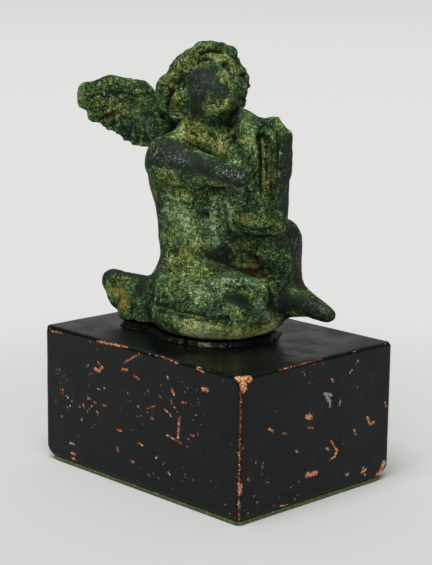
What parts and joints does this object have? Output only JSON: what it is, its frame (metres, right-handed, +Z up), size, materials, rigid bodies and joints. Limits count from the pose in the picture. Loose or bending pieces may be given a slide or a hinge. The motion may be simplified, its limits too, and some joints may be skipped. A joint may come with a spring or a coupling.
{
  "type": "bronze cupid statuette on a wood block",
  "caption": "Small cast bronze winged child kneeling with a harp, fixed with adhesive to a black painted rectangular wood block with a felt pad beneath.",
  "frame": {"origin": "centre of the felt pad's underside, the face that the object stands on", "axes": "+Z up, +X along the block's long side, the way the cupid faces, +Y to the cupid's left"},
  "size_m": [0.1016, 0.0762, 0.1559],
  "materials": {
    "bronze": "cast bronze under a mottled green and yellow patina, rubbed dark on the high places",
    "adhesive": "glossy dark amber adhesive squeezed out round the bronze",
    "painted_wood": "satin black paint, chipped to orange wood at the edges and corners",
    "felt": "green felt"
  },
  "bodies": {
    "root": {"cupid_statuette": "bronze", "adhesive_bed": "adhesive", "wood_block": "painted_wood", "felt_pad": "felt"}
  },
  "joints": []
}
